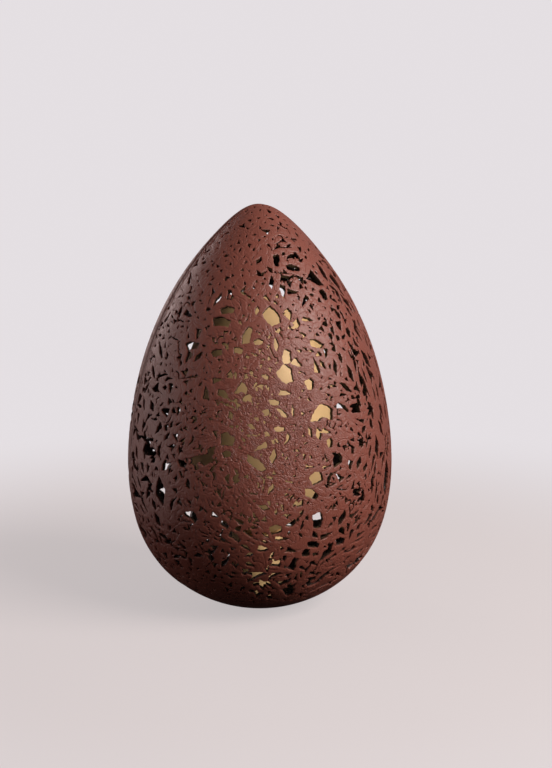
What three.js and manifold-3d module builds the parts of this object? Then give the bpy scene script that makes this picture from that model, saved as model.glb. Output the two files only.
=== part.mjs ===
// A lace egg of dark chocolate: two half shells, piped as a web of strands inside an egg mould and
// joined upright, stand on a blunt end melted flat. Through the openings of the web shows a smaller
// chocolate egg with a gold finish, on a short round foot.
// Millimetres, +Z up. The origin is the centre of the flat spot and the front faces -Y.
import * as THREE from 'three';
import { mergeVertices } from 'three/addons/utils/BufferGeometryUtils.js';
import Module from 'manifold-3d';

// ---- Driving dimensions ----
const mouldHeight = 300; // blunt end to tip, as it leaves the mould
const middleRadius = 94.7; // radius half way up, before the egg terms
const eggTerms = [-0.259, 0.074, -0.125, -0.144]; // swell the blunt end and slim the tip
const flatDepth = 2; // melted off the blunt end
const wall = 3.3; // strand thickness
const floorHeight = 4.5; // top of the flat pad inside the blunt end
const gap = 0.3; // between pieces that touch
const seamTurn = -73; // degrees from the front to the seam, negative to the left

const innerHeight = 184; // gold egg
const innerRadius = 57;
const innerMiddle = 144; // height of its widest ring
const innerShift = -2; // it stands a little to the left
const footRadius = 19;
const footChamfer = 1;
const footDish = 15; // radius of the hollow that the gold egg sits in

const shellTurns = 40; // facets round the outside
const shellRings = 20;
const liningTurns = 30; // facets round the inside
const liningRings = 15;
const innerTurns = 24;
const innerRings = 12;
const dishRings = 4;

// ---- Openings of the web ----
// Placed openings: [height, turn from the front, length, width, lean of the length from level].
// Turn is positive to the right, lean is anticlockwise, and a wedge points along its lean.
const leaves = [
  [262, 0, 8, 3.5, 65], [253, 58, 17, 5, -85], [239, 69, 12, 4, -75], [248, 9, 11, 4, 90],
  [224, 66, 11, 4, -65], [202, 74, 11, 4, 90], [247, -61, 13, 3, -50], [236, -27, 11, 3.5, 70],
  [199, -60, 19, 2.5, -40], [198, -31, 10.5, 3.5, 50], [230, -1, 7, 3, 85], [208, 9, 10, 3, 90],
  [163, 10, 11, 3, -40], [164, 15, 9, 2.5, -85], [161, -12, 6, 3.5, -75], [154, -3, 7, 3, -25],
  [149, 22, 9, 3, -75], [147, 26, 9.5, 4.5, -80], [134, 6, 11, 5, -95], [111, 5, 8.5, 3, 65],
  [193, 32, 8, 3, -60], [190, 39, 12, 4, -90], [184, 48, 15, 5, -75], [176, 43, 14, 4.5, -35],
  [191, 65, 17, 6.5, -60], [181, 59, 12, 2.5, -75], [184, 80, 17, 5, -80], [166, 69, 15, 4, -85],
  [151, 76, 17, 6, -85], [147, 57, 9, 4.5, -70], [141, 66, 15, 5, -60], [129, 60, 18, 7.5, -85],
  [102, 70, 29, 13, -85], [122, 46, 10, 5, 70], [118, 50, 8, 4.5, 60], [128, 54, 10, 3, 75],
  [85, 37, 13, 6, 70], [63, 50, 17, 2.5, 10], [90, 61, 8, 3.5, -75], [52, 57, 14, 4, 15],
  [102, -45, 21, 11, -80], [91, -50, 9, 4.5, -65], [80, -49, 12, 6.5, -60], [124, -65, 11, 5, -60],
  [142, -42, 8, 3.5, 55], [160, -55, 9, 5, -50], [160, -63, 12, 3.5, -55], [183, -60, 12, 3, -45],
  [103, -62, 11, 3, -45], [64, -60, 10, 3.5, -30], [83, -61, 10, 3, -40],
];
const wedges = [
  [248, 46, 15, 12, -45], [235, 30, 10.5, 4, -130], [242, 16, 11.5, 4, -95],
  [223, 29, 9.5, 4, -10], [216, 50, 8, 6.5, -85], [225, -45, 10, 4.5, -15], [213, -34, 8, 5, -85],
  [195, 19, 8.5, 6, -35], [193, 28, 11, 5, 100], [176, 12, 9, 3.5, -5], [184, -19, 8, 4.5, 15],
  [175, -24, 10, 6, 100], [148, 30, 8, 4.5, -15], [140, 1, 10, 4.5, -150], [200, 35, 8, 4, -100],
  [152, 49, 11, 3.5, 160], [122, 41, 7.5, 4.5, -95], [74, 30, 11, 4.5, 20], [70, 44, 9, 4.5, -100],
  [68, 51, 10, 5, 15], [65, 14, 8, 5, -15], [75, 10, 11, 4, 0], [67, 2, 8, 6.5, -5],
  [91, -18, 6, 4.5, -15], [112, -30, 7, 4, 90], [115, -58, 8, 4.5, -65], [144, -60, 8, 5.5, -100],
  [148, -67, 8, 5, -80], [146, -48, 10, 4.5, -125], [159, -45, 8.5, 7, 175],
  [175, -44, 7, 5, -80], [197, -37, 9, 6, -110],
];
const blocks = [
  [262, 16, 11, 4.5, -95], [257, 29, 11, 5, -10], [245, 69, 14, 7, -75], [238, 47, 9, 6, -85],
  [230, -19, 11, 6, 10], [222, -21, 15, 7.5, -5], [205, -36, 12, 6, 10], [202, -21, 9, 5, 15],
  [226, 8, 15, 9.5, -60], [214, -6, 13, 6, 75], [204, -10, 7, 4.5, -15], [210, 0, 7, 4, 5],
  [207, 31, 12, 5.5, -20], [200, 14, 10, 7, 85], [188, 13, 14, 10, -60], [181, 24, 8, 7, -80],
  [170, 7, 8, 4, -10], [173, -5, 7, 4, 35], [175, -16, 9, 5, -25], [152, 9, 8.5, 3.5, 0],
  [140, 31, 7, 5, -85], [129, -1, 17, 5.5, -40], [145, -13, 10.5, 9.5, -10], [135, -13, 7, 5, 10],
  [117, 24, 10.5, 8.5, 15], [106, 22, 12, 6, -30], [86, 25, 12, 8, -85], [67, 38, 9, 7, -5],
  [68, 24, 10, 5.5, -15], [62, 21, 7.5, 6.5, 85], [82, 7, 10, 7.5, 5], [76, -10, 10, 5.5, -40],
  [85, -14, 7, 5, -35], [211, 56, 8, 4.5, -90],
];
const crescents = [
  [163, 39, 14.5, 5, -20], [145, 12, 9.5, 3.5, -105], [142, -29, 9, 3, -105],
  [131, -46, 13, 5, 95], [96, -38, 13, 3.5, 65],
];
const stars = [[161, 28, 18, 13, 5], [179, -8, 9.5, 9, 0], [89, -29, 12, 8, -30]];

// Openings of the far side, low behind a front one so that daylight shows through both.
const farBlocks = [
  [232, 187, 10, 8, 20], [228, 168, 20, 8.5, 33], [219, 205, 14, 10, 55], [186, 220, 14, 10, 40],
  [179, 146, 13, 9, 75], [161, 134, 16, 10, -70], [134, 139, 13, 9, 80], [117, 231, 15, 10, 40],
  [90, 231, 14, 9, -50], [50, 226, 17, 11, 15], [43, 207, 17, 9, 20], [33, 165, 14, 9, 0],
  [46, 147, 13, 10, 60],
];

// Openings by rule, on the sides and back that the placed ones leave free.
const ruleSeed = 41;
const ruleCount = 66;
const ruleTurns = [80, 287];
const ruleHeights = [14, 282];
const ruleLengths = [7, 17];
const ruleSlimness = [0.32, 0.68]; // width over length
const ruleLean = 60; // spread round upright
const ruleForms = [['leaf', 0.4], ['wedge', 0.65], ['block', 1]]; // each up to a share of the draws
const ruleSpacing = 0.42; // between two centres, of both lengths together
const web = 3.5; // least strand between two openings by rule
const seamBand = 3; // solid edge along the seam
const jitter = 0.14; // unevenness of the corners, as a share of the half length

// ---- Steps of the making ----
const plugClear = 4; // how far a cutting plug stands out on each side of the wall
const mergeDistance = 1e-4;
const smallStep = 1e-4; // along the outline, in radians
const levelStep = 0.002; // of the search for the lining's level pad, in radians

const chocolate = { color: 0x5a332a, roughness: 0.62, metalness: 0 };
const gold = { color: 0xb8955a, roughness: 0.34, metalness: 0.75 };

const wasm = await Module();
wasm.setup();

// ---- Random numbers with a seed ----
// The short generator known as mulberry32.
function makeRandom(seed) {
  let state = seed;
  return () => {
    state = (state + 0x6d2b79f5) | 0;
    let mixed = Math.imul(state ^ (state >>> 15), 1 | state);
    mixed = (mixed + Math.imul(mixed ^ (mixed >>> 7), 61 | mixed)) ^ mixed;
    return ((mixed ^ (mixed >>> 14)) >>> 0) / 4294967296;
  };
}

function between([low, high], share) {
  return low + (high - low) * share;
}

// ---- The egg's form ----
// Along is 0 at the blunt end and pi at the tip.
function eggPoint(along) {
  const x = -Math.cos(along);
  const swell = eggTerms.reduce((sum, term, i) => sum + term * x ** (i + 1), 1);
  const height = (mouldHeight * (x + 1)) / 2 - flatDepth;
  return new THREE.Vector2(middleRadius * Math.sin(along) * swell, height);
}

function alongAt(height) {
  return Math.acos(1 - (2 * (height + flatDepth)) / mouldHeight);
}

// The outward direction of the outline, in its radius and height.
function eggNormal(along) {
  const rise = eggPoint(along + smallStep).sub(eggPoint(along - smallStep));
  return new THREE.Vector2(rise.y, -rise.x).normalize();
}

function outerOutline() {
  const start = alongAt(0);
  const points = [new THREE.Vector2(0, 0)];
  for (let i = 0; i <= shellRings; i += 1) {
    points.push(eggPoint(start + ((Math.PI - start) * i) / shellRings));
  }
  points[points.length - 1].x = 0;
  return points;
}

// The lining runs one wall inside the egg and is levelled by the flat pad.
function liningOutline() {
  const inside = (along) => eggPoint(along).addScaledVector(eggNormal(along), -wall);
  let start = alongAt(0);
  while (inside(start).y < floorHeight) start += levelStep;
  const points = [new THREE.Vector2(0, floorHeight)];
  for (let i = 0; i <= liningRings; i += 1) {
    points.push(inside(start + ((Math.PI - start) * i) / liningRings));
  }
  points[1].y = floorHeight;
  points[points.length - 1].x = 0;
  return points;
}

function lathe(outline, turns) {
  return new THREE.LatheGeometry(outline, turns).rotateX(Math.PI / 2);
}

// ---- Joining and cutting ----
function toSolid(geometry) {
  geometry.deleteAttribute('normal');
  geometry.deleteAttribute('uv');
  const merged = mergeVertices(geometry, mergeDistance);
  const corners = merged.index.array;
  const triangles = [];
  for (let i = 0; i < corners.length; i += 3) {
    const [a, b, c] = corners.slice(i, i + 3);
    if (a !== b && b !== c && c !== a) triangles.push(a, b, c);
  }
  const vertProperties = Float32Array.from(merged.attributes.position.array);
  const mesh = { numProp: 3, vertProperties, triVerts: Uint32Array.from(triangles) };
  return new wasm.Manifold(new wasm.Mesh(mesh));
}

function toGeometry(solid) {
  const { vertProperties, triVerts } = solid.getMesh();
  const geometry = new THREE.BufferGeometry();
  geometry.setAttribute('position', new THREE.BufferAttribute(vertProperties, 3));
  geometry.setIndex(new THREE.BufferAttribute(triVerts, 1));
  const flat = geometry.toNonIndexed();
  flat.computeVertexNormals();
  return flat;
}

// ---- Outlines of the openings, within 1 of the centre each way ----
const outlines = {
  leaf: [[1, 0], [-0.15, 1], [-1, 0.1], [0.2, -1]],
  wedge: [[1, 0], [-0.8, 1], [-1, -0.8], [0.2, -0.6]],
  block: [[0.9, 0.4], [-0.1, 1], [-1, 0.5], [-0.7, -1], [0.8, -0.8]],
  crescent: [[1, -0.9], [0.3, 0.7], [-0.4, 1], [-1, -0.6], [0.1, -0.2]],
  star: [
    [1, 0.2], [0.1, 1], [-0.4, 0.2], [-1, -0.75], [-0.3, -0.8], [0.1, -0.4], [0.85, -0.95],
  ],
};

function openingShape(opening, random) {
  const corners = outlines[opening.form].map(([x, y]) => {
    const shiftX = (random() - 0.5) * jitter;
    const shiftY = (random() - 0.5) * jitter;
    const along = ((x + shiftX) * opening.length) / 2;
    const across = ((y + shiftY) * opening.width) / 2;
    return new THREE.Vector2(along, across);
  });
  return new THREE.Shape(corners);
}

// The point of the shell's outside at a height and turn, with its level, rising and outward axes.
function surfaceFrame(height, turn) {
  const angle = THREE.MathUtils.degToRad(turn);
  const along = alongAt(height);
  const point = eggPoint(along);
  const normal = eggNormal(along);
  const side = new THREE.Vector3(Math.sin(angle), -Math.cos(angle), 0);
  const centre = side.clone().multiplyScalar(point.x).setZ(point.y);
  const outward = side.clone().multiplyScalar(normal.x).setZ(normal.y);
  const level = new THREE.Vector3(Math.cos(angle), Math.sin(angle), 0);
  const rising = outward.clone().cross(level);
  return { centre, level, rising, outward };
}

// A plug through the wall, square to it, in the form of the opening.
function plug(opening, random) {
  const depth = wall + 2 * plugClear;
  const shape = openingShape(opening, random);
  const geometry = new THREE.ExtrudeGeometry(shape, { depth, bevelEnabled: false });
  const { centre, level, rising, outward } = surfaceFrame(opening.height, opening.turn);
  geometry.translate(0, 0, -wall - plugClear);
  geometry.rotateZ(THREE.MathUtils.degToRad(opening.lean));
  geometry.applyMatrix4(new THREE.Matrix4().makeBasis(level, rising, outward));
  geometry.translate(centre.x, centre.y, centre.z);
  return toSolid(geometry);
}

function placedOpenings() {
  const named = (form, rows) =>
    rows.map(([height, turn, length, width, lean]) => ({ form, height, turn, length, width, lean }));
  return [
    ...named('leaf', leaves),
    ...named('wedge', wedges),
    ...named('block', blocks),
    ...named('crescent', crescents),
    ...named('star', stars),
    ...named('block', farBlocks),
  ];
}

function fromSeam(point) {
  const angle = THREE.MathUtils.degToRad(seamTurn);
  return Math.abs(point.x * Math.cos(angle) + point.y * Math.sin(angle));
}

// Throws openings at the far side, and keeps each that leaves a strand round it.
function ruleOpenings(placed) {
  const random = makeRandom(ruleSeed);
  const widest = Math.max(...outerOutline().map((point) => point.x));
  const all = placed.map((opening) => ({
    ...opening,
    centre: surfaceFrame(opening.height, opening.turn).centre,
  }));
  const kept = [];
  while (kept.length < ruleCount) {
    const height = between(ruleHeights, random());
    const turn = between(ruleTurns, random());
    const length = between(ruleLengths, random() ** 2);
    const width = length * between(ruleSlimness, random());
    const lean = 90 + (random() * 2 - 1) * ruleLean;
    const pick = random();
    const [form] = ruleForms.find(([, share]) => pick < share);
    const { centre } = surfaceFrame(height, turn);
    const wideEnough = random() < eggPoint(alongAt(height)).x / widest;
    const offSeam = fromSeam(centre) > length / 2 + seamBand;
    const apart = all.every(
      (other) =>
        other.centre.distanceTo(centre) > ruleSpacing * (other.length + length) + web,
    );
    if (wideEnough && offSeam && apart) {
      const opening = { form, height, turn, length, width, lean, centre };
      kept.push(opening);
      all.push(opening);
    }
  }
  return kept;
}

// ---- The two half shells ----
function lacedShell() {
  const random = makeRandom(ruleSeed + 1);
  const placed = placedOpenings();
  const openings = [...placed, ...ruleOpenings(placed)];
  const plugs = openings.map((opening) => plug(opening, random));
  const body = toSolid(lathe(outerOutline(), shellTurns));
  const hollow = toSolid(lathe(liningOutline(), liningTurns));
  return body.subtract(hollow).subtract(wasm.Manifold.union(plugs));
}

// A block that covers everything on one side of the seam, but for half the gap.
function sideOfSeam(sign) {
  const reach = 2 * mouldHeight;
  const geometry = new THREE.BoxGeometry(reach, reach, reach);
  geometry.translate(0, (sign * (reach + gap)) / 2, mouldHeight / 2);
  geometry.rotateZ(THREE.MathUtils.degToRad(seamTurn + 90));
  return toSolid(geometry);
}

// ---- The gold egg and its foot ----
// Polar is 0 at the foot of the gold egg and pi at its top.
function innerPoint(polar, grow = 0) {
  const radius = (innerRadius + grow) * Math.sin(polar);
  const height = innerMiddle - (innerHeight / 2 + grow) * Math.cos(polar);
  return new THREE.Vector2(radius, height);
}

function innerOutline() {
  const points = [];
  for (let i = 0; i <= innerRings; i += 1) {
    points.push(innerPoint((Math.PI * i) / innerRings));
  }
  points[0].x = 0;
  points[innerRings].x = 0;
  return points;
}

// A round foot whose dished top follows the gold egg, one gap below it.
function footOutline() {
  const base = floorHeight + gap;
  const rim = Math.asin(footDish / innerRadius);
  const lip = innerPoint(rim, 2 * gap).y;
  const points = [new THREE.Vector2(0, base), new THREE.Vector2(footRadius, base)];
  points.push(new THREE.Vector2(footRadius, lip - footChamfer));
  points.push(new THREE.Vector2(footRadius - footChamfer, lip));
  for (let i = dishRings; i >= 0; i -= 1) {
    points.push(innerPoint((rim * i) / dishRings, 2 * gap));
  }
  points[points.length - 1].x = 0;
  return points;
}

function piece(name, geometry, finish) {
  const mesh = new THREE.Mesh(geometry, new THREE.MeshStandardMaterial(finish));
  mesh.name = name;
  return mesh;
}

const shell = lacedShell();
const egg = new THREE.Group();
egg.add(piece('shell_front', toGeometry(shell.intersect(sideOfSeam(-1))), chocolate));
egg.add(piece('shell_back', toGeometry(shell.intersect(sideOfSeam(1))), chocolate));

const treasure = new THREE.Group();
treasure.position.x = innerShift;
treasure.add(piece('inner_egg', lathe(innerOutline(), innerTurns), gold));
treasure.add(piece('inner_stand', lathe(footOutline(), innerTurns), gold));
egg.add(treasure);

export default egg;
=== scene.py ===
import math

import bmesh
import bpy
import numpy as np
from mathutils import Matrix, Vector


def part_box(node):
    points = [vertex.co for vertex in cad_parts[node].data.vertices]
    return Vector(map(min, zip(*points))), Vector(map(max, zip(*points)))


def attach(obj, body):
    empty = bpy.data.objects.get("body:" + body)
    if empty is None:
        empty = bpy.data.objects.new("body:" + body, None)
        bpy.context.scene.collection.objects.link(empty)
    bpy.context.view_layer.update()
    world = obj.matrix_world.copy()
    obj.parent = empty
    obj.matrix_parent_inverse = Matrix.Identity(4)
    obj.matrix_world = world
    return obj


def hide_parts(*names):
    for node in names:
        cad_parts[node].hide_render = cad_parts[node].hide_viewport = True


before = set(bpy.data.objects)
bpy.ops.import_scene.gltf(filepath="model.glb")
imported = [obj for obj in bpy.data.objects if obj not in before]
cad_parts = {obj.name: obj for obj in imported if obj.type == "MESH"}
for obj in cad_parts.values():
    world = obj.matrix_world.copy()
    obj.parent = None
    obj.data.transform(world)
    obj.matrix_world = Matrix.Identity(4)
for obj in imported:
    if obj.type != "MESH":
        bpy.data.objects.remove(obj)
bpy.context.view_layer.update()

# ---- The view ----
# A studio camera with a short telephoto lens stands a little over a metre in front of the egg.
# It looks down on it by about ten degrees, from just above the height of the tip.
mm = 0.001
camera_place = (12 * mm, -1072.6 * mm, 368.8 * mm)
camera_dip = 10.72  # degrees below level
camera_lens = 69.2  # for the 36 mm long side of the picture


def add_object(name, data):
    made = bpy.data.objects.new(name, data)
    bpy.context.scene.collection.objects.link(made)
    return made


camera = add_object("camera", bpy.data.cameras.new("camera"))
camera.location = camera_place
camera.rotation_euler = (math.radians(90 - camera_dip), 0, 0)
camera.data.lens = camera_lens
camera.data.sensor_width = 36
bpy.context.scene.camera = camera

# ---- The studio ----
# A plain pale table top runs out into a pale room, under soft light: a wide lamp high on the right,
# weak ones on the left and behind, and what the room gives back, next to nothing of it from below.
floor_reach = 3.0
floor_fade = (0.22, 0.62)  # from the egg, where the table top turns into the pale of the room
floor_colour = (0.16, 0.145, 0.145, 1)
floor_glow = (0.50, 0.465, 0.468, 1)
room_reach = 6.0
room_colour = (0.78, 0.74, 0.765, 1)
black = (0, 0, 0, 1)
light_from_front = (0.165, 0.145, 0.145, 1)
light_from_back = (0.22, 0.19, 0.19, 1)
light_from_below = (0.012, 0.008, 0.008, 1)
front_to_back = (-0.2, 0.8)  # where the room's light changes over
below_to_level = (-0.45, -0.1)
lamps_aim = Vector((0, 0, 0.15))
lamps = {
    "key_lamp": dict(place=(1.19, -0.75, 0.97), size=1.0, power=51, colour=(1, 0.92, 0.87)),
    "side_lamp": dict(place=(-1.15, 0.12, 0.2), size=1.0, power=5.5, colour=(1, 0.84, 0.82)),
    "back_lamp": dict(place=(-0.8, 0.95, 0.5), size=0.5, power=3.0, colour=(1, 0.80, 0.77)),
}
bpy.context.scene.view_settings.view_transform = "Standard"


def feed(node, inputs):
    """Links a node's inputs to other nodes, or sets their values."""
    for key, value in dict(inputs).items():
        if isinstance(value, bpy.types.NodeSocket):
            node.id_data.links.new(value, node.inputs[key])
        else:
            node.inputs[key].default_value = value


def node_adder(tree):
    """A function that adds a node to a tree, with its settings made and its inputs fed."""

    def add(kind, inputs=(), **settings):
        made = tree.nodes.new(kind)
        for key, value in settings.items():
            setattr(made, key, value)
        feed(made, inputs)
        return made

    return add


def plain_material(name):
    """A material, its shader and a function that adds a node to it."""
    material = bpy.data.materials.new(name)
    material.use_nodes = True
    return material, material.node_tree.nodes["Principled BSDF"], node_adder(material.node_tree)


def mixed(add, share, first, second):
    """The colour that mixes two others by a share."""
    mix = add("ShaderNodeMix", {"Factor": share, "A": first, "B": second}, data_type="RGBA")
    return mix.outputs["Result"]


def share_between(add, value, low, high, ends=(0.0, 1.0), **settings):
    """How far a value has gone from low to high, as a number between two ends."""
    inputs = {"Value": value, "From Min": low, "From Max": high, "To Min": ends[0], "To Max": ends[1]}
    return add("ShaderNodeMapRange", inputs, **settings).outputs[0]


def stage_piece(name, made):
    """A plain surface of the studio that gives no light to the egg, and its material."""
    material, shader, add = plain_material(name)
    feed(shader, {"Roughness": 0.6, "Specular IOR Level": 0, "Emission Strength": 1})
    mesh = bpy.data.meshes.new(name)
    made.to_mesh(mesh)
    made.free()
    mesh.materials.append(material)
    piece = add_object(name, mesh)
    piece.visible_diffuse = False
    piece.visible_glossy = False
    return piece, shader, add


floor_shape = bmesh.new()
bmesh.ops.create_grid(floor_shape, x_segments=1, y_segments=1, size=floor_reach)
_, floor_shader, add_floor = stage_piece("table_top", floor_shape)
floor_place = add_floor("ShaderNodeTexCoord").outputs["Object"]
floor_distance = add_floor("ShaderNodeVectorMath", {0: floor_place}, operation="LENGTH").outputs["Value"]
far_share = share_between(add_floor, floor_distance, *floor_fade, interpolation_type="SMOOTHSTEP")
feed(floor_shader, {
    "Base Color": mixed(add_floor, far_share, floor_colour, black),
    "Emission Color": mixed(add_floor, far_share, floor_glow, room_colour),
})

room_shape = bmesh.new()
bmesh.ops.create_icosphere(room_shape, subdivisions=4, radius=room_reach)
room, room_shader, _ = stage_piece("room", room_shape)
feed(room_shader, {"Base Color": black, "Emission Color": room_colour})
room.visible_shadow = False

world = bpy.data.worlds.new("light of the room")
world.use_nodes = True
add_world = node_adder(world.node_tree)
direction = add_world("ShaderNodeTexCoord").outputs["Generated"]
axes = add_world("ShaderNodeSeparateXYZ", {0: direction}).outputs
behind = share_between(add_world, axes["Y"], *front_to_back)
above = share_between(add_world, axes["Z"], *below_to_level)
level_light = mixed(add_world, behind, light_from_front, light_from_back)
feed(world.node_tree.nodes["Background"], {"Color": mixed(add_world, above, light_from_below, level_light)})
bpy.context.scene.world = world


def hang_lamp(name, place, size, power, colour):
    light = bpy.data.lights.new(name, "AREA")
    light.size = size
    light.energy = power
    light.color = colour
    holder = add_object(name, light)
    holder.location = place
    holder.rotation_euler = (lamps_aim - Vector(place)).to_track_quat("-Z", "Y").to_euler()
    return holder


for name, lamp in lamps.items():
    hang_lamp(name, **lamp)

# ---- The gold egg ----
# A smaller chocolate egg stands inside. It is cast in a plain mould and brushed with gold lustre
# dust, which leaves a satin metal face with faint cloudy strokes.
inner_low, inner_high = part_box("inner_egg")
inner_centre = (inner_low + inner_high) / 2
inner_half = (inner_high - inner_low) / 2
inner_rings = 72
inner_turns = 96
gold_colours = ((0.49, 0.31, 0.137, 1), (0.59, 0.39, 0.19, 1))
gold_cloud_scale = 42  # patches a metre
gold_dust_scale = 900
gold_dust_depth = 0.2 * mm


def turned_piece(name, profile, centre, turns):
    """A closed mesh from a profile of (radius, height), bottom to top, turned about an upright axis."""
    made = bmesh.new()
    rings = []
    for radius, height in profile:
        if radius < 1e-6:
            rings.append([made.verts.new((centre[0], centre[1], height))])
            continue
        angles = [2 * math.pi * i / turns for i in range(turns)]
        rings.append([
            made.verts.new((centre[0] + radius * math.cos(a), centre[1] + radius * math.sin(a), height))
            for a in angles
        ])
    for lower, upper in zip(rings, rings[1:]):
        for i in range(turns):
            j = (i + 1) % turns
            corners = [lower[i % len(lower)], lower[j % len(lower)]]
            corners += [upper[j % len(upper)], upper[i % len(upper)]]
            made.faces.new(list(dict.fromkeys(corners)))
    for face in made.faces:
        face.smooth = True
    mesh = bpy.data.meshes.new(name)
    made.to_mesh(mesh)
    made.free()
    return add_object(name, mesh)


def clouds(add, place, scale, detail, **more):
    """A cloudy pattern of so many patches a metre."""
    inputs = {"Vector": place, "Scale": scale, "Detail": detail, **more}
    return add("ShaderNodeTexNoise", inputs).outputs["Fac"]


def bumped(add, height, strength, depth, **more):
    """The surface's direction with a pattern's relief on it."""
    inputs = {"Height": height, "Strength": strength, "Distance": depth, **more}
    return add("ShaderNodeBump", inputs).outputs["Normal"]


gold, gold_shader, add = plain_material("gold lustre")
gold_place = add("ShaderNodeTexCoord").outputs["Object"]
gold_cloud = clouds(add, gold_place, gold_cloud_scale, 5, Roughness=0.6)
gold_dust = clouds(add, gold_place, gold_dust_scale, 2)
feed(gold_shader, {
    "Base Color": mixed(add, gold_cloud, *gold_colours),
    "Normal": bumped(add, gold_dust, 0.25, gold_dust_depth),
    "Metallic": 0.15,
    "Roughness": 0.55,
})

inner_profile = [
    (
        inner_half.x * math.sin(math.pi * i / inner_rings),
        inner_centre.z - inner_half.z * math.cos(math.pi * i / inner_rings),
    )
    for i in range(inner_rings + 1)
]
gold_egg = turned_piece("gold_egg", inner_profile, inner_centre, inner_turns)
gold_egg.data.materials.append(gold)
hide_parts("inner_egg")
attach(gold_egg, "root")

# ---- The foot ----
# A short round chocolate plug with the same gold dust holds the gold egg up, stuck in the blunt end
# of the shell. Its dished top follows the egg and its edges are a little rounded.
foot_low, foot_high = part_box("inner_stand")
foot_radius = (foot_high.x - foot_low.x) / 2
foot_round = 1.2 * mm
foot_turns = 64
round_steps = 5
dish_radius = 15 * mm
dish_gap = 0.6 * mm
dish_steps = 8


def under_gold_egg(radius):
    reach = 1 - (radius / (inner_half.x + dish_gap)) ** 2
    return inner_centre.z - (inner_half.z + dish_gap) * math.sqrt(reach)


def rounded(corner_height, rise):
    """Profile points of a rounded edge: the foot's lower one, of rise 1, or its upper one, of -1."""
    angles = [math.pi / 2 * i / round_steps for i in range(round_steps + 1)]
    radii = [foot_radius - foot_round * (1 - math.cos(a)) for a in angles]
    heights = [corner_height + rise * foot_round * (1 - math.sin(a)) for a in angles]
    points = list(zip(radii, heights))
    return points[::-1] if rise > 0 else points


dish_radii = [dish_radius * i / dish_steps for i in range(dish_steps, -1, -1)]
foot_profile = [(0, foot_low.z)]
foot_profile += rounded(foot_low.z, 1)
foot_profile += rounded(foot_high.z, -1)
foot_profile += [(radius, under_gold_egg(radius)) for radius in dish_radii]
gold_foot = turned_piece("gold_foot", foot_profile, (foot_low + foot_high) / 2, foot_turns)
gold_foot.data.materials.append(gold)
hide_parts("inner_stand")
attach(gold_foot, "root")

# ---- The gold's own lamp ----
# The lace holds back most of the key lamp, so a second lamp beside it lights the gold alone.
gold_lamp = hang_lamp("gold_lamp", place=(1.30, -0.74, 0.72), size=0.9, power=29, colour=(1, 0.96, 0.92))
gold_pieces = bpy.data.collections.new("gold_pieces")
gold_pieces.objects.link(gold_egg)
gold_pieces.objects.link(gold_foot)
gold_lamp.light_linking.receiver_collection = gold_pieces
gold_lamp.light_linking.blocker_collection = gold_pieces

# ---- The egg mould ----
# Both half shells are piped inside an egg mould, so their outside is one flush egg face. The mould
# is a ball stretched in height, swollen low down and slimmed towards the tip.
shell_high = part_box("shell_front")[1]
flat_depth = 2 * mm  # melted off the blunt end
mould_height = shell_high.z + flat_depth
egg_terms = (-0.259, 0.074, -0.125, -0.144)
seam_turn = -73  # degrees from the front to the seam
seam_gap = 0.3 * mm


def swell(level):
    """The egg's swelling at a level, -1 at the blunt end and 1 at the tip."""
    return 1 + sum(term * level ** (power + 1) for power, term in enumerate(egg_terms))


all_levels = np.linspace(-1, 1, 2001)
middle_radius = shell_high.x / (np.sqrt(1 - all_levels**2) * swell(all_levels)).max()


def on_mould(ball):
    """Points of the unit ball, brought to the face of the mould and levelled at the flat spot."""
    side = middle_radius * swell(ball[..., 2])
    height = mould_height * (ball[..., 2] + 1) / 2 - flat_depth
    return np.stack((ball[..., 0] * side, ball[..., 1] * side, np.maximum(height, 0)), axis=-1)


def ball_at(along, turn):
    """Along is 0 at the blunt end and pi at the tip, turn is from the front to the right."""
    round_part = np.sin(along)
    return np.stack((np.sin(turn) * round_part, -np.cos(turn) * round_part, -np.cos(along)), axis=-1)


def along_at(height):
    return np.arccos(1 - 2 * (height + flat_depth) / mould_height)


def mould_frame(along, turn):
    """The level, rising and outward directions of the mould's face, and its size per radian."""
    step = 1e-4
    rise = (on_mould(ball_at(along + step, turn)) - on_mould(ball_at(along - step, turn))) / (2 * step)
    level = np.stack((np.cos(turn), np.sin(turn), np.zeros_like(turn)), axis=-1)
    tall = np.linalg.norm(rise, axis=-1)
    rising = rise / np.maximum(tall, 1e-9)[..., None]
    return level, rising, np.cross(level, rising), tall


all_along = np.linspace(0.01, math.pi - 0.01, 2000)
all_radii = on_mould(ball_at(all_along, 0 * all_along))[:, 1] * -1
ring_areas = 2 * math.pi * all_radii * mould_frame(all_along, 0 * all_along)[3]
ring_areas *= all_along[1] - all_along[0]
shell_area = ring_areas.sum()


def along_of_share(share):
    """Where a share of the mould's area lies below."""
    return np.interp(share, np.cumsum(ring_areas) / shell_area, all_along)


def straight_ahead(middle_turn):
    """The level direction from the plane of the seam to the middle of a half."""
    angle = math.radians(middle_turn)
    return np.array((math.sin(angle), -math.cos(angle), 0))


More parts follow.
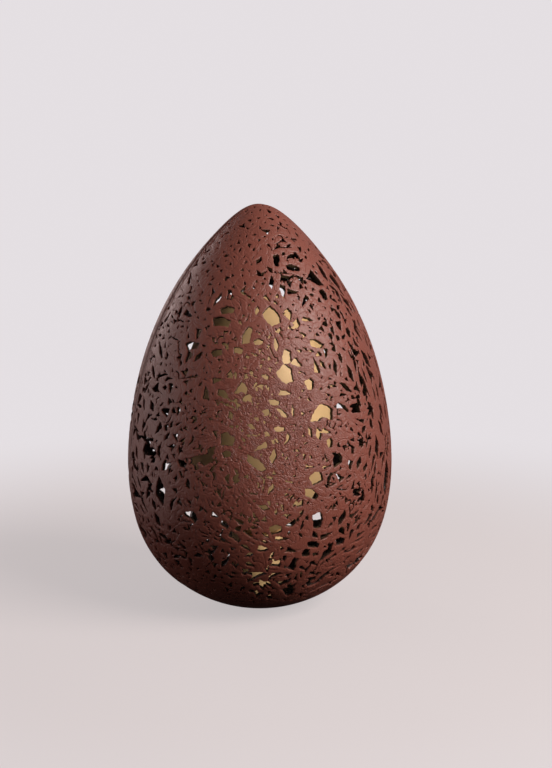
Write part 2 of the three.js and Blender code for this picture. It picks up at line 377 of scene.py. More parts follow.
def half_mould(columns, rows, middle_turn):
    """An even grid over one half of the mould's face, in five patches: one straight ahead and four
    half ones round it, out to the seam."""
    ahead = straight_ahead(middle_turn)
    aside = np.array((-ahead[1], ahead[0], 0))
    up = np.array((0, 0, 1.0))
    eighth = math.pi / 4
    half = columns // 2 + 1
    patches = (
        (ahead, aside, up, (-eighth, eighth, columns + 1), (-eighth, eighth, rows + 1)),
        (aside, -ahead, up, (-eighth, 0, half), (-eighth, eighth, rows + 1)),
        (-aside, ahead, up, (0, eighth, half), (-eighth, eighth, rows + 1)),
        (up, aside, -ahead, (-eighth, eighth, columns + 1), (-eighth, 0, half)),
        (-up, aside, ahead, (-eighth, eighth, columns + 1), (0, eighth, half)),
    )
    balls = []
    faces = []
    laid = 0
    for forward, across, rising, wide, tall in patches:
        a, b = np.meshgrid(np.tan(np.linspace(*wide)), np.tan(np.linspace(*tall)))
        ball = (forward + a[..., None] * across + b[..., None] * rising).reshape(-1, 3)
        first = (np.arange(tall[2] - 1)[:, None] * wide[2] + np.arange(wide[2] - 1) + laid).reshape(-1)
        faces.append(np.column_stack((first, first + 1, first + wide[2] + 1, first + wide[2])))
        balls.append(ball / np.linalg.norm(ball, axis=1)[:, None])
        laid += len(ball)
    balls = np.concatenate(balls)
    # The patches share their borders' points, which give the same number when they are rounded.
    keys = np.round(balls * 1e5).astype(np.int64) @ np.array((1, 4 * 10**5, 16 * 10**10))
    _, kept, shared = np.unique(keys, return_index=True, return_inverse=True)
    points = on_mould(balls[kept])
    short = np.maximum(seam_gap / 2 - points @ ahead, 0)
    return points + short[:, None] * ahead, shared.reshape(-1)[np.concatenate(faces)]


# ---- The openings of the web ----
# The web's larger openings are where the strands were piped round a space. Their corners come from
# the frame, and their sides bow a little, as the edge of a soft strand does.
face_steepness = 0.75  # at least, of a facet on the mould's face, as a cosine
wall_steepness = 0.6  # at most, of one in an opening's wall
straight_on = math.radians(9)


def facing(point):
    """The mould's outward direction near a point."""
    along = along_at(np.clip(point[2], 1e-5, mould_height - flat_depth - 1e-5))
    turn = np.arctan2(point[0], -point[1])
    return mould_frame(np.array(along), np.array(turn))


def opening_corners(node):
    """The outer corners of each opening of a half shell, in order, from its mesh in the frame."""
    merged = bmesh.new()
    merged.from_mesh(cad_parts[node].data)
    bmesh.ops.remove_doubles(merged, verts=merged.verts, dist=0.01 * mm)
    merged.normal_update()
    angle = math.radians(seam_turn)
    seam_out = Vector((-math.cos(angle), -math.sin(angle), 0))
    steepness = {}
    for face in merged.faces:
        centre = face.calc_center_median()
        outward = facing(np.array(centre))[2]
        steepness[face] = face.normal.dot(Vector(outward))
    beside = {}
    for edge in merged.edges:
        steep = sorted(steepness[face] for face in edge.link_faces)
        middle = (edge.verts[0].co + edge.verts[1].co) / 2
        at_rim = abs(middle.dot(seam_out)) < seam_gap
        at_mouth = len(steep) == 2 and steep[1] > face_steepness and abs(steep[0]) < wall_steepness
        if at_mouth and not at_rim:
            for start, end in (tuple(edge.verts), tuple(edge.verts)[::-1]):
                beside.setdefault(start, []).append(end)
    outlines = []
    while beside:
        start = next(iter(beside))
        loop = [start]
        while True:
            onward = [v for v in beside.pop(loop[-1], []) if v in beside]
            if not onward:
                break
            loop.append(onward[0])
        points = np.array([v.co for v in loop])
        if len(points) > 2:
            outlines.append(drop_straight(points))
    merged.free()
    return outlines


def drop_straight(points):
    """Leaves out the points where an outline runs straight on."""
    before = points - np.roll(points, 1, axis=0)
    after = np.roll(points, -1, axis=0) - points
    before /= np.linalg.norm(before, axis=1)[:, None]
    after /= np.linalg.norm(after, axis=1)[:, None]
    return points[(before * after).sum(axis=1) < math.cos(straight_on)]


outline_step = 0.8 * mm
side_bows = (-0.06, 0.09)  # of a side's length, outward
side_wobble = 0.22 * mm
wobble_length = 4 * mm
past_outline = 4 * mm  # as far out as the distance from an opening is needed


def soft_outline(corners, random):
    """An opening's outline with bowed, slightly uneven sides, as points about 0.8 mm apart."""
    points = []
    for start, end in zip(corners, np.roll(corners, -1, axis=0)):
        side = end - start
        length = np.linalg.norm(side)
        outward = np.array((side[1], -side[0])) / length
        share = np.arange(0, 1, min(outline_step / length, 0.5))[:, None]
        bow = random.uniform(*side_bows) * length * 4 * share * (1 - share)
        wobble_angle = share * length / wobble_length * 2 * np.pi + random.uniform(0, 6)
        wobble = side_wobble * np.sin(wobble_angle) * (share > 0)
        points.append(start + side * share + outward * (bow + wobble))
    return np.concatenate(points)


def signed_distance(places, outline):
    """Distance in a plane from places to a closed outline, below 0 inside."""
    start, end = outline, np.roll(outline, -1, axis=0)
    side = end - start
    offset = places[:, None] - start
    share = np.clip((offset * side).sum(-1) / (side**2).sum(-1), 0, 1)
    reach = np.linalg.norm(offset - side * share[..., None], axis=-1).min(axis=1)
    over = (start[:, 1] > places[:, None, 1]) != (end[:, 1] > places[:, None, 1])
    height_share = (places[:, None, 1] - start[:, 1]) / np.where(side[:, 1] == 0, 1e-12, side[:, 1])
    left = places[:, None, 0] < start[:, 0] + side[:, 0] * height_share
    return np.where((over & left).sum(axis=1) % 2 == 1, -1, 1) * reach


def mark_openings(points, outlines, random):
    """Each point's distance from the openings, and the openings' own frames, for the strands that
    run round them."""
    clear = np.full(len(points), 1.0)
    framed = []
    for corners in outlines:
        centre = corners.mean(axis=0)
        level, rising, outward, _ = facing(centre)
        flat = np.stack((level, rising), axis=1)
        flat_corners = (corners - centre) @ flat
        if np.cross(flat_corners, np.roll(flat_corners, -1, axis=0)).sum() < 0:
            flat_corners = flat_corners[::-1]
        outline = soft_outline(flat_corners, random)
        reach = np.linalg.norm(outline, axis=1).max() + past_outline
        chosen = np.flatnonzero(((points - centre) ** 2).sum(axis=1) < reach**2)
        distance = signed_distance((points[chosen] - centre) @ flat, outline)
        clear[chosen] = np.minimum(clear[chosen], distance)
        framed.append((centre, level, rising, flat_corners))
    return clear, framed


# ---- The strands ----
# Tempered chocolate is piped from a paper cone in strands three to four millimetres wide, pressed
# flush on the mould. Each new one melts into those below, or leaves a fine slit beside it.
strand_step = 1.6 * mm
fill_layers = 4
fill_cover = 0.56  # of the shell, by each layer alone
fill_lengths = (16 * mm, 60 * mm)
fine_half_width = 1.05 * mm
broad_half_width = 1.6 * mm
width_shares = (0.75, 1.3)  # thinnest and thickest strand
lean_spread = 0.28  # radians
fill_bend = 10  # radians a metre
fine_bend = 45  # more where the web is fine
wave_lean = 0.25  # radians at most
wave_lengths = (8 * mm, 22 * mm)
off_ends = 0.05  # radians along the mould that the strands keep from its two ends


def smooth_step(low, high, value):
    share = np.clip((value - low) / (high - low), 0, 1)
    return share * share * (3 - 2 * share)


def region(points, heights, turns):
    """1 inside a region of the shell, given in millimetres and degrees, fading to 0 past its edges."""
    height = points[:, 2]
    turn = np.degrees(np.arctan2(points[:, 0], -points[:, 1]))
    up = smooth_step((heights[0] - 12) * mm, (heights[0] + 12) * mm, height)
    down = 1 - smooth_step((heights[1] - 12) * mm, (heights[1] + 12) * mm, height)
    right = smooth_step(turns[0] - 8, turns[0] + 8, turn)
    left = 1 - smooth_step(turns[1] - 8, turns[1] + 8, turn)
    return up * down * right * left


def flank(turn):
    """How far round to the right side, where the strands run almost upright."""
    return smooth_step(math.radians(38), math.radians(62), turn) * (1 - smooth_step(2.0, 2.6, turn))


def skirt(height, turn):
    """How far down to the right, where the strands run almost level."""
    return (1 - smooth_step(78 * mm, 98 * mm, height)) * smooth_step(0.1, 0.6, turn) * (turn < 1.9)


def strand_lean(height, turn, layer):
    """The lean from level in which a layer's strands set off."""
    lean = layer * 1.13 + 0.9 * np.sin(height / (34 * mm) + 1.7 * layer) + 0.8 * np.sin(2.1 * turn + layer)
    upright = math.radians(84) + 0.22 * np.sin(2.3 * layer + height / (40 * mm))
    level = 0.12 + 0.3 * np.sin(3.1 * layer)
    lean = lean + (upright - lean) * 0.85 * flank(turn)
    return lean + (level - lean) * 0.8 * skirt(height, turn)


def fineness(height, turn):
    """1 where the web is of fine swirls, round the front's middle, and 0 elsewhere."""
    return np.exp(-(((height - 150 * mm) / (48 * mm)) ** 2) - ((turn - 0.12) / 0.5) ** 2)


def walk(along, turn, heading, steps, step_length):
    """Points of many curves on the mould at once, each turning as its heading says for the length
    that it has run."""
    places = []
    for step in range(steps):
        places.append(on_mould(ball_at(along, turn)))
        tall = mould_frame(along, turn)[3]
        lean = heading(step * step_length)
        round_radius = np.maximum(np.hypot(places[-1][:, 0], places[-1][:, 1]), 5 * mm)
        along = np.clip(along + step_length * np.sin(lean) / tall, off_ends, math.pi - off_ends)
        turn = turn + step_length * np.cos(lean) / round_radius
    return np.stack(places, axis=1)


def lay_fill(layer, random):
    """A layer of strands thrown over the whole mould, as points and half widths."""
    mean_size = sum(fill_lengths) / 2 * (fine_half_width + broad_half_width)
    count = int(shell_area * fill_cover / mean_size)
    along = along_of_share(random.uniform(0, 1, count))
    turn = random.uniform(-math.pi, math.pi, count)
    height = mould_height * (1 - np.cos(along)) / 2
    lean = strand_lean(height, turn, layer) + random.normal(0, lean_spread, count)
    length = random.uniform(*fill_lengths, count)
    fine = fineness(height, turn)
    bend = random.normal(0, 1, count) * (fill_bend + fine_bend * fine)
    wave = random.uniform(0, wave_lean, count) * (1 + fine)
    wave_length = random.uniform(*wave_lengths, count)
    phase = random.uniform(0, 6.28, count)
    half_width = broad_half_width + (fine_half_width - broad_half_width) * fine
    half_width = half_width * random.uniform(*width_shares, count)

    def heading(run):
        return lean + bend * run + wave * np.sin(run / wave_length * 2 * math.pi + phase)

    places = walk(along, turn, heading, int(fill_lengths[1] / strand_step), strand_step)
    strands = []
    for i in range(count):
        used = max(int(length[i] / strand_step), 3)
        strands.append((places[i, :used], half_width[i]))
    return strands


side_half_widths = (1.0, 1.9)  # millimetres
side_overruns = (2 * mm, 8 * mm)  # past the corners
side_strand_bow = 0.10  # of a side's length, at most
overrun_bow = 2.5 * mm  # at most, past the corners


def lay_round_openings(framed, random):
    """Strands along the sides of the openings, running on past the corners, in two crossing layers."""
    layers = ([], [])
    for centre, level, rising, corners in framed:
        for side, (start, end) in enumerate(zip(corners, np.roll(corners, -1, axis=0))):
            half_width = random.uniform(*side_half_widths) * mm
            run = end - start
            length = np.linalg.norm(run)
            outward = np.array((run[1], -run[0])) / length
            before, after = random.uniform(*side_overruns, 2) / length
            steps = max(int((1 + before + after) * length / strand_step), 4)
            share = np.linspace(-before, 1 + after, steps)[:, None]
            bow = random.uniform(0.0, side_strand_bow) * length * 4 * share * (1 - share)
            bow = np.maximum(bow, -overrun_bow)
            flat = start + run * share + outward * (bow + half_width)
            places = centre + flat[:, :1] * level + flat[:, 1:] * rising
            layers[side % 2].append((places, half_width))
    return layers


rim_half_width = 2.6 * mm
rim_inset = 0.55  # of the half width, from the rim to the strand's middle
rim_points = 200


def seam_strand(middle_turn):
    """The strand along the rim of a half shell, from the blunt end over the tip and down again."""
    rising = np.linspace(0.1, math.pi, rim_points)
    falling = np.linspace(math.pi, 0.1, rim_points)
    turn = np.repeat((math.radians(middle_turn - 90), math.radians(middle_turn + 90)), rim_points)
    inward = straight_ahead(middle_turn) * rim_half_width * rim_inset
    return [(on_mould(ball_at(np.concatenate((rising, falling)), turn)) + inward, rim_half_width)]


gap_spread = 40 * mm**2  # of the shell, for each small gap
gap_size = 1.3 * mm
gap_clear = 3.2 * mm  # from the middle of a small gap to an opening
gap_step = 0.5 * mm
gap_reach = 11 * mm
gap_scatter = 0.28  # of the space between two
gap_uneven = 0.4  # spread of their sizes
fewer_gaps = 0.35  # share left out where the strands lie open
long_gaps = 0.5  # share of long ones on the open flanks


def openness(points):
    """How open the strands lie in each part of the shell, from 0 to 1."""
    turn = np.arctan2(points[:, 0], -points[:, 1])
    behind = smooth_step(1.7, 2.1, np.abs(turn)) * (0.5 + 0.5 * np.sin(3.1 * turn + points[:, 2] / (30 * mm)))
    parts = (
        0.45 * region(points, (165, 262), (8, 110)),
        0.8 * region(points, (150, 262), (42, 110)),
        region(points, (55, 200), (42, 110)),
        0.9 * region(points, (30, 92), (-10, 90)),
        0.5 * region(points, (30, 75), (-80, -8)),
        region(points, (50, 172), (-110, -36)),
        0.8 * behind * (1 - smooth_step(225 * mm, 260 * mm, points[:, 2])),
    )
    return np.max(parts, axis=0)


def lay_small_gaps(outlines, random):
    """The small gaps that the strands leave clear of the openings: stars of one to three bent arms
    that run out thin, and long ones between strands that lie side by side."""
    count = int(shell_area / gap_spread)
    golden_turn = math.pi * (3 - math.sqrt(5))
    along = along_of_share((np.arange(count) + random.uniform(0.2, 0.8, count)) / count)
    spacing = math.sqrt(gap_spread)
    radii = np.maximum(middle_radius * np.sin(along), spacing)
    turn = np.arange(count) * golden_turn + random.normal(0, gap_scatter, count) * spacing / radii
    turn = (turn + math.pi) % (2 * math.pi) - math.pi
    along = along + random.normal(0, gap_scatter, count) * spacing / (mould_height / 2)
    along = np.clip(along, off_ends, math.pi - off_ends)
    centres = on_mould(ball_at(along, turn))
    beside = np.concatenate([(line + np.roll(line, i, axis=0)) / 2 for line in outlines for i in (0, 1)])
    middles = np.array([line.mean(axis=0) for line in outlines])
    reaches = np.array([np.linalg.norm(line - line.mean(axis=0), axis=1).max() for line in outlines])
    to_edges = np.linalg.norm(centres[:, None] - beside, axis=2).min(axis=1)
    to_middles = (np.linalg.norm(centres[:, None] - middles, axis=2) - 0.6 * reaches).min(axis=1)
    free = (to_edges > gap_clear) & (to_middles > 0)
    along, turn, centres = along[free], turn[free], centres[free]
    wide_open = openness(centres)
    kept = random.uniform(0, 1, len(along)) > fewer_gaps * wide_open
    along, turn, centres, wide_open = along[kept], turn[kept], centres[kept], wide_open[kept]
    count = len(along)
    closed = 0.3 * fineness(centres[:, 2], turn) - 0.08 * smooth_step(235 * mm, 262 * mm, centres[:, 2])
    size = gap_size * (0.95 + 0.9 * wide_open - closed) * np.exp(gap_uneven * random.normal(0, 1, count))
    arms = random.choice((1, 2, 3, 3), count)
    start = random.uniform(-math.pi, math.pi, count)
    is_long = random.uniform(0, 1, count) < long_gaps * wide_open * np.maximum(flank(turn), flank(-turn))
    arms[is_long] = 2
    size[is_long] *= 1.25
    start[is_long] = (strand_lean(centres[:, 2], turn, 1) + random.normal(0, 0.22, count))[is_long]
    gap = np.repeat(np.arange(count), arms)
    number = np.arange(len(gap)) - np.repeat(np.cumsum(arms) - arms, arms)
    first = start[gap] + 2 * math.pi / arms[gap] * number + random.normal(0, 0.3, len(gap))
    bend = random.normal(0, 1, len(gap)) * np.where(is_long[gap], 20, 110)
    length = size[gap] * random.uniform(0.9, 1.9, len(gap)) * np.where(arms[gap] == 1, 1.7, 1)
    length = np.minimum(length * np.where(is_long[gap], 2.4, 1), gap_reach)
    steps = int(gap_reach / gap_step) + 1
    places = walk(along[gap], turn[gap], lambda run: first + bend * run, steps, gap_step)
    gaps = []
    for i, owner in enumerate(gap):
        used = max(int(length[i] / gap_step), 2) + 1
        taper = 1 - np.linspace(0, 1, used) ** 1.2
        gaps.append((places[i, :used], np.maximum(0.58 * size[owner] * taper, 0.05 * mm)))
    return gaps


def strand_object(name, strands):
    """The centre lines of a layer, each point with its strand's half width."""
    counts = [len(places) for places, _ in strands]
    starts = np.cumsum([0] + counts[:-1])
    edges = np.concatenate([np.arange(n - 1) + first for n, first in zip(counts, starts)])
    mesh = bpy.data.meshes.new(name)
    points = np.concatenate([places for places, _ in strands])
    mesh.vertices.add(len(points))
    mesh.vertices.foreach_set("co", points.astype(np.float32).ravel())
    mesh.edges.add(len(edges))
    mesh.edges.foreach_set("vertices", np.column_stack((edges, edges + 1)).astype(np.int32).ravel())
    widths = np.concatenate([np.broadcast_to(width, n) for n, (_, width) in zip(counts, strands)])
    mesh.attributes.new("half_width", "FLOAT", "POINT").data.foreach_set("value", widths.astype(np.float32))
    return add_object(name, mesh)


# ---- The web of strands ----
# Where a new strand hasn't melted into the ones below, they stop short of it by a slit. The tree
# takes a half of the mould's face and the layers of strands, first piped first, and finds how far
# each point of the face lies inside the web.
web_sizes = {
    "Run together": -1.0 * mm,  # a slit below 0
    "Slit width": 1.0 * mm,
    "Shrinkage": 0.1 * mm,  # by which the strands draw back from an opening
}
slit_patches = (0.46, 0.66)  # of the patchy pattern, from run together to the full slit
slit_patch_scale = 65
web_layers = fill_layers + 2
off_all_strands = -5 * mm


def start_tree(name, face, things, sizes):
    """A tree with its named inputs: its adder of nodes, its inputs' sockets and the position's."""
    tree = bpy.data.node_groups.new(name, "GeometryNodeTree")
    kinds = {face: "Geometry"} | dict.fromkeys(things, "Object") | dict.fromkeys(sizes, "Float")
    for key, kind in (kinds | {"Chocolate": "Material"}).items():
        socket = tree.interface.new_socket(key, in_out="INPUT", socket_type="NodeSocket" + kind)
        if key in sizes:
            socket.default_value = sizes[key]
    tree.interface.new_socket("Web", in_out="OUTPUT", socket_type="NodeSocketGeometry")
    add = node_adder(tree)
    return tree, add, add("NodeGroupInput").outputs, add("GeometryNodeInputPosition").outputs[0]


# These work in the tree at hand, which tree_node and given belong to.
def calc(operation, *values, add=None, **settings):
    add = add or tree_node
    return add("ShaderNodeMath", enumerate(values), operation=operation, **settings).outputs[0]


def stored(name, kind="FLOAT"):
    return tree_node("GeometryNodeInputNamedAttribute", {"Name": name}, data_type=kind).outputs["Attribute"]


def store(geometry, name, value, kind="FLOAT", where=True):
    made = tree_node(
        "GeometryNodeStoreNamedAttribute",
        {"Geometry": geometry, "Name": name, "Value": value, "Selection": where},
        data_type=kind,
        domain="POINT",
    )
    return made.outputs["Geometry"]


def finish_tree(geometry):
    real = tree_node("GeometryNodeRealizeInstances", {"Geometry": geometry}).outputs["Geometry"]
    finished = tree_node("GeometryNodeSetMaterial", {"Geometry": real, "Material": given["Chocolate"]})
    tree_node("NodeGroupOutput", {"Web": finished.outputs["Geometry"]})


def off_strand(layer, spread):
    """How far a point lies off the edge of a layer's nearest strand."""
    lines = tree_node("GeometryNodeObjectInfo", {"Object": given[layer]}).outputs["Geometry"]
    near = tree_node("GeometryNodeProximity", {0: lines}, target_element="EDGES").outputs["Distance"]
    index = tree_node("GeometryNodeSampleNearest", {"Geometry": lines}, domain="POINT").outputs["Index"]
    half_width = tree_node(
        "GeometryNodeSampleIndex",
        {"Geometry": lines, "Value": stored("half_width"), "Index": index},
        data_type="FLOAT",
        domain="POINT",
    ).outputs["Value"]
    return calc("SUBTRACT", near, calc("ADD", half_width, spread))


layer_names = [f"Strands {i + 1}" for i in range(web_layers)]
things = (*layer_names, "Small gaps", "Rim strand")
strand_tree, tree_node, given, position = start_tree("web of strands", "Half mould", things, web_sizes)
inside = off_all_strands
for number, name in enumerate(layer_names):
    off = off_strand(name, stored("spare"))
    shifted = tree_node("ShaderNodeVectorMath", {0: position, 1: (0.7 * number, 0.3, 0.1)}).outputs[0]
    patch = clouds(tree_node, shifted, slit_patch_scale, 1)
    slit_ends = (given["Run together"], given["Slit width"])
    slit = share_between(tree_node, calc("ADD", patch, stored("slits")), *slit_patches, slit_ends)
    inside = calc("MINIMUM", inside, calc("SUBTRACT", off, slit))
    inside = calc("MAXIMUM", inside, calc("MULTIPLY", off, -1))
inside = calc("MINIMUM", inside, off_strand("Small gaps", stored("gaps")))
inside = calc("MAXIMUM", inside, calc("MULTIPLY", off_strand("Rim strand", 0), -1))
inside = calc("MINIMUM", inside, calc("SUBTRACT", stored("clear"), given["Shrinkage"]))
finish_tree(store(given["Half mould"], "inside", inside))


cut_shares = (0.08, 0.92)  # of the way between two grid points, so that no sliver is cut


def cut_open(points, faces, values):
    """Cuts the face along the web's edge and keeps what lies inside, as triangles. Each square is
    first split so that its outermost corner can go alone."""
    inside = values["inside"]
    around = inside[faces]
    odd = np.minimum(around[:, 1], around[:, 3]) < np.minimum(around[:, 0], around[:, 2])
    triangles = np.concatenate((
        faces[odd][:, (0, 1, 2)],
        faces[odd][:, (0, 2, 3)],
        faces[~odd][:, (0, 1, 3)],
        faces[~odd][:, (1, 2, 3)],
    ))
    kept = (inside >= 0)[triangles]
    count = kept.sum(axis=1)
    crossed = (count == 1) | (count == 2)
    only_one = count[crossed] == 1
    odd_corner = np.argmax(kept[crossed] == only_one[:, None], axis=1)
    order = (odd_corner[:, None] + np.arange(3)) % 3
    lone, second, third = np.take_along_axis(triangles[crossed], order, axis=1).T
    starts = np.concatenate((lone, lone))
    ends = np.concatenate((second, third))
    keys = np.minimum(starts, ends) * len(points) + np.maximum(starts, ends)
    keys, place = np.unique(keys, return_inverse=True)
    to_second, to_third = place.reshape(2, -1) + len(points)
    near, far = keys // len(points), keys % len(points)
    share = np.clip(inside[near] / (inside[near] - inside[far]), *cut_shares)

    def with_cuts(value):
        step = (value[far] - value[near]) * share.reshape((-1,) + (1,) * (value.ndim - 1))
        return np.concatenate((value, value[near] + step))

    points = with_cuts(points)
    values = {key: with_cuts(value) for key, value in values.items()}
    values["inside"][-len(keys):] = 0
    tips = np.column_stack((lone, to_second, to_third))[only_one]
    blunt = np.column_stack((to_second, second, third))[~only_one]
    blunt_too = np.column_stack((to_second, third, to_third))[~only_one]
    triangles = np.concatenate((triangles[count == 3], tips, blunt, blunt_too))
    used, renumbered = np.unique(triangles, return_inverse=True)
    values = {key: value[used] for key, value in values.items()}
    return points[used], renumbered.reshape(-1, 3), values


# ---- The wall of the web ----
# The piped shell is a bit over three millimetres thick, with rounded edges outside, an uneven
# lining and a soft lip along the rim. The tree drops the scraps that hang on to nothing and gives
# the cut face its edges and its wall.
wall_sizes = {
    "Wall": 3.3 * mm,
    "Strand round": 0.45 * mm,  # from a strand's edge to its flat face
    "Edge drop": 0.25 * mm,
    "Rim round": 1.9 * mm,
    "Rim drop": 1.6 * mm,
    "Lip place": 3.2 * mm,
    "Lip reach": 2.2 * mm,
    "Lip rise": 0.55 * mm,
    "Bare rim": 1.9 * mm,  # down in the seam, where the spray doesn't reach: painted shade, near black
    "Lumps": 0.3 * mm,  # unevenness of the lining
}
lip_from = 9 * mm  # off the table
lip_full = 12 * mm  # higher up
lump_scale = 60
same_place = 0.0002 * mm  # between points that belong together

wall_tree, tree_node, given, position = start_tree("wall of the web", "Cut face", (), wall_sizes)
island = tree_node("GeometryNodeInputMeshIsland").outputs["Island Index"]
size = tree_node("GeometryNodeAccumulateField", {"Group ID": island}, data_type="FLOAT", domain="POINT")
size.inputs["Value"].default_value = 1
sheet = store(given["Cut face"], "island_size", size.outputs["Total"])
largest = tree_node(
    "GeometryNodeAttributeStatistic",
    {"Geometry": sheet, "Attribute": stored("island_size")},
    data_type="FLOAT",
    domain="POINT",
).outputs["Max"]
is_scrap = calc("LESS_THAN", stored("island_size"), largest)
sheet = tree_node(
    "GeometryNodeDeleteGeometry", {"Geometry": sheet, "Selection": is_scrap}, domain="POINT"
).outputs["Geometry"]


def dip(distance, reach, depth):
    """How far a rounded edge has dropped at a distance inside it."""
    rest = calc("SUBTRACT", 1, calc("DIVIDE", distance, reach, use_clamp=True))
    return calc("MULTIPLY", calc("MULTIPLY", rest, rest), depth)


def scaled(direction, amount):
    return tree_node("ShaderNodeVectorMath", {0: direction, "Scale": amount}, operation="SCALE").outputs[0]


def moved(geometry, inputs):
    return tree_node("GeometryNodeSetPosition", {"Geometry": geometry, **inputs}).outputs["Geometry"]


rim = stored("rim")
off_lip = calc("ABSOLUTE", calc("SUBTRACT", rim, given["Lip place"]))
lip_ends = (given["Lip rise"], 0.0)
lip = share_between(tree_node, off_lip, 0.0, given["Lip reach"], lip_ends, interpolation_type="SMOOTHSTEP")
height = tree_node("ShaderNodeSeparateXYZ", {0: position}).outputs["Z"]
off_table = calc("DIVIDE", calc("SUBTRACT", height, lip_from), lip_full, use_clamp=True)
lip = calc("MULTIPLY", lip, off_table)
rounding = dip(stored("inside"), given["Strand round"], given["Edge drop"])
fall = calc("MAXIMUM", rounding, dip(rim, given["Rim round"], given["Rim drop"]))
lump_noise = clouds(tree_node, position, lump_scale, 0)
thickness = calc("ADD", given["Wall"], calc("MULTIPLY", calc("SUBTRACT", lump_noise, 0.5), given["Lumps"]))
normal = tree_node("GeometryNodeInputNormal").outputs["Normal"]
sheet = store(sheet, "outward", normal, "FLOAT_VECTOR")
sheet = store(sheet, "fall", calc("SUBTRACT", fall, lip))
lining_place = tree_node(
    "ShaderNodeVectorMath", {0: position, 1: scaled(normal, thickness)}, operation="SUBTRACT"
).outputs[0]
sheet = store(sheet, "lining_place", lining_place, "FLOAT_VECTOR")
# The coat value falls to 0 down in the seam, which paints a near-black shade line there.
sheet = store(sheet, "coat", calc("SUBTRACT", 1, dip(rim, given["Bare rim"], 1.0)))
outward = stored("outward", "FLOAT_VECTOR")
lining_place = stored("lining_place", "FLOAT_VECTOR")
face = moved(sheet, {"Offset": scaled(outward, calc("MULTIPLY", stored("fall"), -1))})
edge_faces = tree_node("GeometryNodeInputMeshEdgeNeighbors").outputs["Face Count"]
walled = tree_node(
    "GeometryNodeExtrudeMesh",
    {
        "Mesh": face,
        "Selection": calc("COMPARE", edge_faces, 1, 0.1),
        "Offset": scaled(outward, -1.0),
        "Offset Scale": given["Wall"],
    },
    mode="EDGES",
).outputs
walls = moved(walled["Mesh"], {"Selection": walled["Top"], "Position": lining_place})
# The walls' inner edges get coat 0: near-black painted shade seen through the openings.
walls = store(walls, "coat", 0.0, where=walled["Top"])
lining = moved(sheet, {"Position": lining_place})
lining = tree_node("GeometryNodeFlipFaces", {"Mesh": lining}).outputs["Mesh"]
joined = tree_node("GeometryNodeJoinGeometry")
# The lining gets coat 0 too, and so is painted in near-black shade.
feed(joined, {"Geometry": store(lining, "coat", 0.0)})
feed(joined, {"Geometry": walls})
loose = joined.outputs["Geometry"]
whole = tree_node("GeometryNodeMergeByDistance", {"Geometry": loose, "Distance": same_place})
finish_tree(whole.outputs["Geometry"])

# ---- The chocolate ----
# Dark chocolate sprayed with coloured cocoa butter: a brown, velvety skin with a fine grain and a
# broad soft sheen, which stops at the openings' edges. It keeps the fine ridges of the piping, most
# round the front, and the creases where strands have met. Where the spray stops, in the walls, the
# lining and down in the seam, the colour is near black: bare chocolate darkened as painted shade.
sprayed_colours = ((0.118, 0.0345, 0.0235, 1), (0.162, 0.047, 0.0325, 1))
# Bare chocolate, darkened to near black as painted shade in the openings' walls, lining and seam.
bare_and_shaded_colour = (0.012, 0.007, 0.006, 1)
coat_and_shade_span = (0.5, 0.95)  # of the coat, from bare and painted shade to fully sprayed
tint_scale = 30
ridge_spacing = 1.6 * mm
ridge_depth = 0.3 * mm
wave_spacing = 0.314  # of the wave pattern at a scale of 1, in metres
crease_sets = ((48, 0.1), (62, 0.6), (80, 1.3))  # scale and shift of each
crease_width = 0.022  # of the pattern's height
crease_depth = 0.35 * mm
velvet_scale = 800
velvet_depth = 0.36 * mm

chocolate, chocolate_shader, add = plain_material("sprayed dark chocolate")
chocolate_place = add("ShaderNodeTexCoord").outputs["Object"]
tint = clouds(add, chocolate_place, tint_scale, 6)
coat = add("ShaderNodeAttribute", attribute_name="coat").outputs["Fac"]
coat_and_shade_share = share_between(add, coat, *coat_and_shade_span)
sprayed = mixed(add, tint, *sprayed_colours)
ridges = add(
    "ShaderNodeTexWave",
    {
        "Vector": chocolate_place,
        "Scale": wave_spacing / ridge_spacing,
        "Distortion": 30,
        "Detail": 3,
        "Detail Scale": 0.55,
        "Detail Roughness": 0.7,
    },
    bands_direction="DIAGONAL",
).outputs["Fac"]
swirl = add("ShaderNodeAttribute", attribute_name="swirl").outputs["Fac"]
off_crease = 1
for crease_scale, crease_shift in crease_sets:
    shift = {0: chocolate_place, 1: (crease_shift, 0.2, 0.4)}
    shifted = add("ShaderNodeVectorMath", shift).outputs[0]
    field = clouds(add, shifted, crease_scale, 1.5)
    off_middle = calc("ABSOLUTE", calc("SUBTRACT", field, 0.5, add=add), add=add)
    off_crease = calc("MINIMUM", off_crease, off_middle, add=add)
crease_side = share_between(add, off_crease, 0.0, crease_width, interpolation_type="SMOOTHSTEP")
velvet = clouds(add, chocolate_place, velvet_scale, 3)
relief = bumped(add, ridges, swirl, ridge_depth)
relief = bumped(add, crease_side, 0.55, crease_depth, Normal=relief)
relief = bumped(add, velvet, 0.9, velvet_depth, Normal=relief)
# The base colour falls to the near-black painted shade where the coat value is low.
feed(chocolate_shader, {
    "Base Color": mixed(add, coat_and_shade_share, bare_and_shaded_colour, sprayed),
    "Normal": relief,
    "Roughness": 0.41,
    "Specular IOR Level": 0.37,
})

# ---- The half shells ----
# The two halves come out of the mould and are stood up together, rim to rim, with a hair's gap
# along the seam. Each is lace all over, up to the one strand that runs along its rim.
grid_columns = 300
grid_rows = 460
beside_openings = (1.0 * mm, 3.0 * mm)  # where the strands run together less and less
chocolate_budget = 190000  # triangles in each half
bare_and_shaded_coat = 0.01  # below it lie the lining and the walls' inner edges, painted in near-black shade
thinning_lead = 1e-4  # of the lining over the face, when points are thinned out
crisp_angle = math.radians(38)


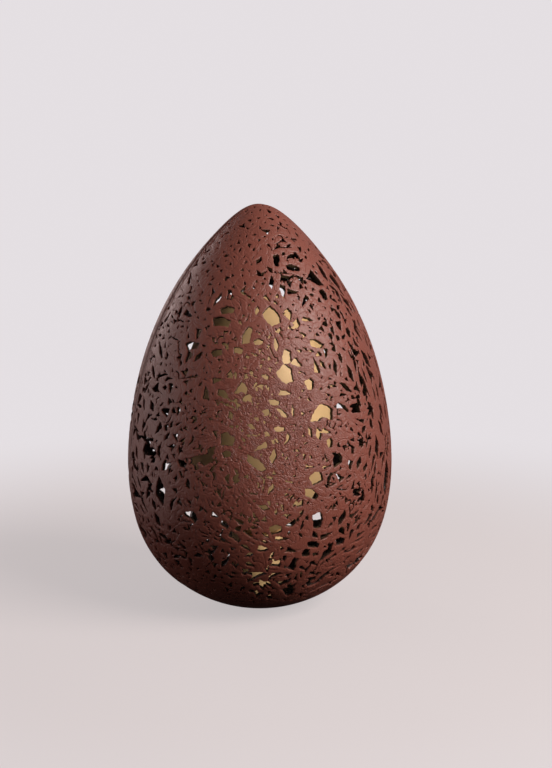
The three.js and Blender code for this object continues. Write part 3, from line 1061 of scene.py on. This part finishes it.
def web_values(points):
    """How the strands lie in each part of the shell: what they have spread by on each side, how far
    they leave slits, how much wider the small gaps are, and how ridged their face is."""
    height = points[:, 2]
    turn = np.arctan2(points[:, 0], -points[:, 1])
    upper_left = region(points, (188, 300), (-66, -2))
    tip = smooth_step(246 * mm, 270 * mm, height)
    heel = 1 - smooth_step(9 * mm, 18 * mm, height)
    wide_open = openness(points)
    spare = 0.35 + 0.4 * np.maximum(upper_left, tip) + 6 * heel - 0.5 * wide_open
    low_middle = region(points, (50, 120), (-40, 14))
    slits = 0.03 * low_middle - 0.01 - 0.06 * wide_open - 0.05 * tip - 0.3 * heel
    gaps = 0.05 - 2 * heel
    swirl = 0.25 + 0.75 * fineness(height, turn)
    return {"spare": spare * mm, "slits": slits, "gaps": gaps * mm, "swirl": swirl}


def face_mesh(name, points, faces, values):
    mesh = bpy.data.meshes.new(name)
    mesh.from_pydata(points.tolist(), [], faces.tolist())
    for key, value in values.items():
        mesh.attributes.new(key, "FLOAT", "POINT").data.foreach_set("value", value.astype(np.float32))
    return mesh


def add_tree(thing, tree, inputs):
    """Gives a thing a tree's modifier, with its inputs set by their names."""
    modifier = thing.modifiers.new("tree", "NODES")
    modifier.node_group = tree
    for item in tree.interface.items_tree:
        if item.in_out == "INPUT" and item.name in inputs:
            modifier[item.identifier] = inputs[item.name]


def make_plain(thing):
    """Puts the thing's evaluated mesh in place of its modifiers."""
    bpy.context.view_layer.update()
    evaluated = thing.evaluated_get(bpy.context.evaluated_depsgraph_get())
    mesh = bpy.data.meshes.new_from_object(evaluated)
    mesh.name = thing.name
    thing.modifiers.clear()
    thing.data = mesh


def point_values(mesh, name):
    """The values of an attribute, one for each point."""
    values = np.empty(len(mesh.vertices), np.float32)
    mesh.attributes[name].data.foreach_get("value", values)
    return values


def thin_out(shell):
    """Brings a half shell down to its budget of triangles, the lining sooner than the face."""
    triangles = sum(len(p.vertices) - 2 for p in shell.data.polygons)
    coat = point_values(shell.data, "coat")
    thinned = shell.vertex_groups.new(name="thinned")
    thinned.add(np.flatnonzero(coat < bare_and_shaded_coat).tolist(), 1.0, "REPLACE")
    thinned.add(np.flatnonzero(coat >= bare_and_shaded_coat).tolist(), 0.5, "REPLACE")
    thin = shell.modifiers.new("thin", "DECIMATE")
    thin.ratio = chocolate_budget / triangles
    thin.use_collapse_triangulate = True
    thin.vertex_group = "thinned"
    thin.vertex_group_factor = thinning_lead
    make_plain(shell)
    shell.vertex_groups.clear()


def make_crisp(shell):
    """Smooth faces that stay flat up to the strands' sharp edges."""
    shell.data.shade_smooth()
    shell.data.set_sharp_from_angle(angle=crisp_angle)
    crisp = shell.modifiers.new("crisp", "WEIGHTED_NORMAL")
    crisp.keep_sharp = True
    make_plain(shell)


random = np.random.default_rng(7)
fills = [strand_object(f"fill_{layer}", lay_fill(layer, random)) for layer in range(fill_layers)]
halves = {"shell_front": seam_turn + 90, "shell_back": seam_turn + 270}
outlines = {node: opening_corners(node) for node in halves}
gaps = strand_object("small_gaps", lay_small_gaps(sum(outlines.values(), []), random))
for node, middle_turn in halves.items():
    points, faces = half_mould(grid_columns, grid_rows, middle_turn)
    clear, framed = mark_openings(points, outlines[node], random)
    rim = points @ straight_ahead(middle_turn) - seam_gap / 2
    values = {"clear": clear, "rim": rim, **web_values(points)}
    beside = 1 - smooth_step(*beside_openings, clear)
    values["gaps"] -= 2 * mm * beside
    values["slits"] -= 0.06 * beside
    values["spare"] += 0.6 * mm * beside
    shell = add_object(node + "_web", face_mesh(node + "_face", points, faces, values))
    sides = enumerate(lay_round_openings(framed, random))
    layers = [strand_object(f"{node}_sides_{i}", side) for i, side in sides]
    rim_strand = strand_object(node + "_rim", seam_strand(middle_turn))
    inputs = {"Small gaps": gaps, "Rim strand": rim_strand, "Chocolate": chocolate}
    add_tree(shell, strand_tree, inputs | dict(zip(layer_names, fills + layers)))
    make_plain(shell)
    inside = point_values(shell.data, "inside").astype(float)
    values = {"inside": inside, "rim": rim, "swirl": values["swirl"]}
    shell.data = face_mesh(node + "_cut", *cut_open(points, faces, values))
    add_tree(shell, wall_tree, {"Chocolate": chocolate})
    make_plain(shell)
    thin_out(shell)
    make_crisp(shell)
    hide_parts(node)
    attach(shell, "root")
    for layer in (*layers, rim_strand):
        bpy.data.objects.remove(layer)
for layer in (*fills, gaps):
    bpy.data.objects.remove(layer)
